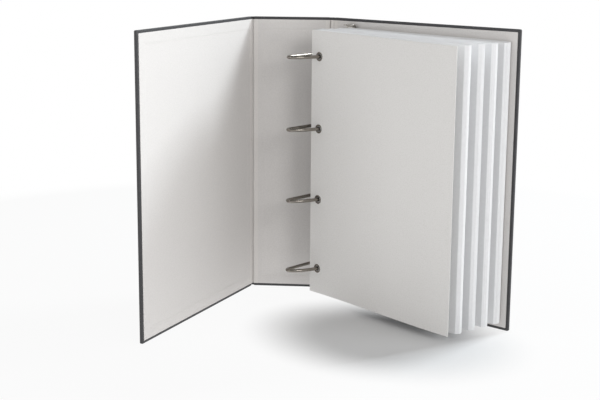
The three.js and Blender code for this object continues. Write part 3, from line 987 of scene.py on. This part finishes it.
@dataclass
class Paper:
    """The four bundles of sheets and the card in front of them.

    Args:
        finishes: The materials.
        random: The source of the sheets' small differences.
    """

    finishes: Finishes
    random: np.random.Generator = field(default_factory=lambda: np.random.default_rng(7))

    def sheets(self, name: str, rear: float, fore_edge: float, layers: np.ndarray, shift: np.ndarray):
        """Makes a stack of sheets that fans out from the binding.

        A sheet's height is rear + (fore-edge - rear) * rise + layer, where rise is half of the
        share of the width plus half of its eased share, and layer goes from the even spacing at
        the binding to the uneven spacing at the fore-edge. It leans back with the posts.

        Args:
            name: The object's name.
            rear: The stack's rear height at the binding.
            fore_edge: Its rear height at the fore-edge.
            layers: For each sheet, its lower and upper face at the binding and at the fore-edge.
            shift: For each sheet, its shift across at the fore-edge and its shift up.

        Returns:
            The new object.
        """
        plan, triangles = punched_plan()
        share = plan[:, 0] / PAPER_WIDTH
        ease = smooth_step(share)
        rise = 0.5 * share + 0.5 * ease
        body = rear + (fore_edge - rear) * rise
        faces = layers[:, :, None, :] * np.stack([1 - ease, ease], axis=1)[None, None]
        layer = faces.sum(axis=3)
        even = layers[:, :, 0][:, :, None]
        across = post_across(rear) - HOLE_MARGIN + plan[:, 0] - even * math.tan(LEAN)
        across = across + shift[:, 0][:, None, None] * share
        level = PAPER_FLOOR + plan[:, 1] - (plan[:, 0] - HOLE_MARGIN) * SAG + 0 * across
        level = level + shift[:, 1][:, None, None]
        points = BACK.place(across, PANEL + body + layer, level)
        size = len(plan)
        rim = rim_of(triangles)
        start = (np.arange(len(layers)) * 2 * size)[:, None, None]
        lower = (triangles[:, ::-1][None] + start).reshape(-1, 3)
        upper = (triangles[None] + size + start).reshape(-1, 3)
        wall = np.stack([rim[:, 0], rim[:, 1], rim[:, 1] + size, rim[:, 0] + size], axis=1)
        walls = (wall[None] + start).reshape(-1, 4)
        return solid(name, points.reshape(-1, 3), [lower, upper, walls])

    def bundle(self, index: int, rear: float, fore_edge: float) -> None:
        """Makes one bundle.

        Args:
            index: Its number, 1 at the front.
            rear: Its rear height at the binding.
            fore_edge: Its rear height at the fore-edge.
        """
        count = BUNDLE_SHEETS
        even = np.linspace(0, BUNDLE, count + 1)
        gaps = self.random.gamma(0.55, size=count) + 0.5
        uneven = np.concatenate([[0], np.cumsum(gaps)]) / gaps.sum()
        pressed = (0.7 * even / BUNDLE + 0.3 * uneven) * BUNDLE_PRESSED
        thin = BUNDLE_PRESSED / count * 0.94
        clear = np.diff(pressed) - 0.008 * MM
        bottoms = np.stack([even[:-1], pressed[:-1]], axis=1)
        thickness = np.stack([np.full(count, thin), np.clip(clear, 0.05 * MM, thin)], axis=1)
        layers = np.stack([bottoms, bottoms + thickness], axis=1)
        order = np.arange(count) / (count - 1)
        bulge = FORE_EDGE_BULGE * (np.sin(math.pi * order) - 0.6)
        shift = self.random.normal(0, 1, (count, 2)) * np.array([0.07, 0.1]) * MM
        shift += np.stack([bulge, 0.8 * MM * (1 - order) ** 6], axis=1)
        piece = self.sheets(f"paper_bundle_{index}_sheets", rear, fore_edge, layers, shift)
        self.finishes.apply(piece, "paper")
        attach(piece, "back_cover")
        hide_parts(f"paper_bundle_{index}")

    def build(self) -> None:
        """Makes the bundles and the card."""
        count = len(FORE_EDGE_REARS)
        rears = [LOWEST_REAR + step * (BUNDLE + BUNDLE_GAP) for step in range(count + 1)]
        for step, fore_edge in enumerate(FORE_EDGE_REARS):
            self.bundle(count - step, rears[step], fore_edge)
        layers = np.array([[[0, 0], [CARD, CARD]]])
        card_rear = rears[-1] + CARD_LIFT
        card = self.sheets("front_card_sheet", card_rear, CARD_FORE_EDGE, layers, np.zeros((1, 2)))
        soft = card.modifiers.new("soft_edges", "BEVEL")
        soft.width = 0.12 * MM
        soft.segments = 2
        soft.limit_method = "ANGLE"
        soft.angle_limit = math.radians(50)
        self.finishes.apply(card, "card")
        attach(card, "back_cover")
        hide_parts("front_card")
        log.info("paper built")


@dataclass(frozen=True)
class Lamp:
    """A square soft lamp.

    Args:
        name: Its name.
        place: Where it is.
        target: What it faces.
        size: Its side.
        power: Its power in watts.
        colour: The colour of its light, linear.
    """

    name: str
    place: tuple[float, float, float]
    target: tuple[float, float, float]
    size: float
    power: float
    colour: tuple[float, float, float]

    def hang(self) -> None:
        """Adds the lamp to the scene."""
        data = bpy.data.lights.new(self.name, "AREA")
        data.color = self.colour
        data.size = self.size
        data.energy = self.power
        lamp = bpy.data.objects.new(self.name, data)
        lamp.location = self.place
        direction = Vector(self.target) - Vector(self.place)
        lamp.rotation_euler = direction.to_track_quat("-Z", "Y").to_euler()
        bpy.context.scene.collection.objects.link(lamp)


LAMPS = (
    Lamp("key_lamp", (0.98, 0.72, 1.13), (-0.12, -0.02, 0.2), 0.42, 21.5, (0.9, 0.96, 1.0)),
    Lamp("side_lamp", (1.15, -0.32, 0.42), (-0.15, -0.05, 0.15), 0.7, 4.6, (0.95, 0.98, 1.0)),
    Lamp("fill_lamp", (-1.25, -0.85, 0.6), (0.07, -0.05, 0.16), 0.7, 4.8, (1.0, 0.99, 0.98)),
    Lamp("front_lamp", (0.75, -1.3, 0.8), (-0.02, 0.0, 0.17), 0.5, 5.4, (1.0, 0.99, 0.98)),
)


@dataclass
class Studio:
    """A pale floor, soft lamps and the camera of the photo."""

    def floor(self) -> None:
        """Makes the floor: painted grey in an oval near the object, a painted shadow that deepens the shadow
        it keeps there, and white away from it.
        """
        mesh = bpy.data.meshes.new("studio_floor")
        corners = [(-FLOOR_HALF, -FLOOR_HALF, 0), (FLOOR_HALF, -FLOOR_HALF, 0)]
        corners += [(FLOOR_HALF, FLOOR_HALF, 0), (-FLOOR_HALF, FLOOR_HALF, 0)]
        mesh.from_pydata(corners, [], [(0, 1, 2, 3)])
        piece = bpy.data.objects.new("studio_floor", mesh)
        piece.location.z = -0.0004
        bpy.context.scene.collection.objects.link(piece)
        made = bpy.data.materials.new("studio_floor")
        made.use_nodes = True
        tree = made.node_tree
        tree.nodes.clear()
        coordinates = tree.nodes.new("ShaderNodeTexCoord")
        # The oval is centred on the shadow in front of the card: inside it the floor shows its painted grey,
        # a painted shadow.
        painted_shadow_oval = tree.nodes.new("ShaderNodeMapping")
        painted_shadow_oval.vector_type = "TEXTURE"
        painted_shadow_oval.inputs["Location"].default_value = (0.06, -0.07, 0)
        painted_shadow_oval.inputs["Rotation"].default_value = (0, 0, math.radians(-37.4))
        painted_shadow_oval.inputs["Scale"].default_value = (0.15, 0.12, 1)
        tree.links.new(coordinates.outputs["Object"], painted_shadow_oval.inputs["Vector"])

        def distance_fade(
            vector: bpy.types.NodeSocket, near: float, far: float, most: float
        ) -> bpy.types.NodeSocket:
            """Rises smoothly with the distance from a point.

            Args:
                vector: The place, measured from that point.
                near: The distance at which it starts to rise.
                far: The distance at which it stops.
                most: What it rises to.

            Returns:
                The value, 0 near the point.
            """
            length = tree.nodes.new("ShaderNodeVectorMath")
            length.operation = "LENGTH"
            tree.links.new(vector, length.inputs[0])
            fade = tree.nodes.new("ShaderNodeMapRange")
            fade.interpolation_type = "SMOOTHSTEP"
            fade.inputs["From Min"].default_value = near
            fade.inputs["From Max"].default_value = far
            fade.inputs["To Max"].default_value = most
            tree.links.new(length.outputs["Value"], fade.inputs["Value"])
            return fade.outputs["Result"]

        share = tree.nodes.new("ShaderNodeMath")
        share.operation = "MAXIMUM"
        tree.links.new(distance_fade(painted_shadow_oval.outputs["Vector"], 0.45, 1.15, 0.93), share.inputs[0])
        tree.links.new(distance_fade(coordinates.outputs["Object"], 0.35, 0.85, 1.0), share.inputs[1])
        # Painted shadow: the floor's grey, darker than the white floor, deepens the shadow near the object.
        painted_shadow_grey = tree.nodes.new("ShaderNodeBsdfDiffuse")
        painted_shadow_grey.inputs["Color"].default_value = (0.64, 0.645, 0.65, 1)
        white = tree.nodes.new("ShaderNodeEmission")
        white.inputs["Color"].default_value = (1, 1, 1, 1)
        white.inputs["Strength"].default_value = 1.0
        mix = tree.nodes.new("ShaderNodeMixShader")
        output = tree.nodes.new("ShaderNodeOutputMaterial")
        tree.links.new(share.outputs["Value"], mix.inputs["Fac"])
        tree.links.new(painted_shadow_grey.outputs["BSDF"], mix.inputs[1])
        tree.links.new(white.outputs["Emission"], mix.inputs[2])
        tree.links.new(mix.outputs["Shader"], output.inputs["Surface"])
        mesh.materials.append(made)

    def world(self) -> None:
        """Sets the white surroundings: full white to the camera, softer as light."""
        world = bpy.data.worlds.new("studio")
        bpy.context.scene.world = world
        world.use_nodes = True
        tree = world.node_tree
        tree.nodes.clear()
        path = tree.nodes.new("ShaderNodeLightPath")
        light = tree.nodes.new("ShaderNodeBackground")
        light.inputs["Color"].default_value = (1.0, 0.985, 0.97, 1)
        light.inputs["Strength"].default_value = 0.36
        seen = tree.nodes.new("ShaderNodeBackground")
        seen.inputs["Color"].default_value = (1, 1, 1, 1)
        seen.inputs["Strength"].default_value = 1.0
        mix = tree.nodes.new("ShaderNodeMixShader")
        output = tree.nodes.new("ShaderNodeOutputWorld")
        tree.links.new(path.outputs["Is Camera Ray"], mix.inputs["Fac"])
        tree.links.new(light.outputs["Background"], mix.inputs[1])
        tree.links.new(seen.outputs["Background"], mix.inputs[2])
        tree.links.new(mix.outputs["Shader"], output.inputs["Surface"])

    def camera(self) -> None:
        """Sets the photo's camera: its heading in the plan, pitched down, with a slight roll."""
        heading = Vector(CAMERA_HEADING).normalized()
        ahead = heading * math.cos(CAMERA_PITCH) - Vector((0, 0, math.sin(CAMERA_PITCH)))
        right = ahead.cross(Vector((0, 0, 1))).normalized()
        up = right.cross(ahead)
        turned_right = right * math.cos(CAMERA_ROLL) + up * math.sin(CAMERA_ROLL)
        turned_up = up * math.cos(CAMERA_ROLL) - right * math.sin(CAMERA_ROLL)
        data = bpy.data.cameras.new("photo_camera")
        data.lens = CAMERA_LENS
        data.sensor_width = CAMERA_SENSOR
        camera = bpy.data.objects.new("photo_camera", data)
        matrix = Matrix((turned_right, turned_up, -ahead)).transposed().to_4x4()
        matrix.translation = CAMERA_PLACE
        camera.matrix_world = matrix
        bpy.context.scene.collection.objects.link(camera)
        bpy.context.scene.camera = camera

    def build(self) -> None:
        """Makes the whole studio."""
        self.floor()
        self.world()
        for lamp in LAMPS:
            lamp.hang()
        self.camera()
        log.info("studio built")


def main() -> None:
    """Builds the whole scene."""
    logging.basicConfig(level=logging.INFO, format="%(name)s: %(message)s")
    bpy.context.scene.view_settings.view_transform = "Standard"
    finishes = Finishes()
    Case(finishes).build()
    RingMechanism(finishes).build()
    Paper(finishes).build()
    Studio().build()


if __name__ == "__main__":
    main()
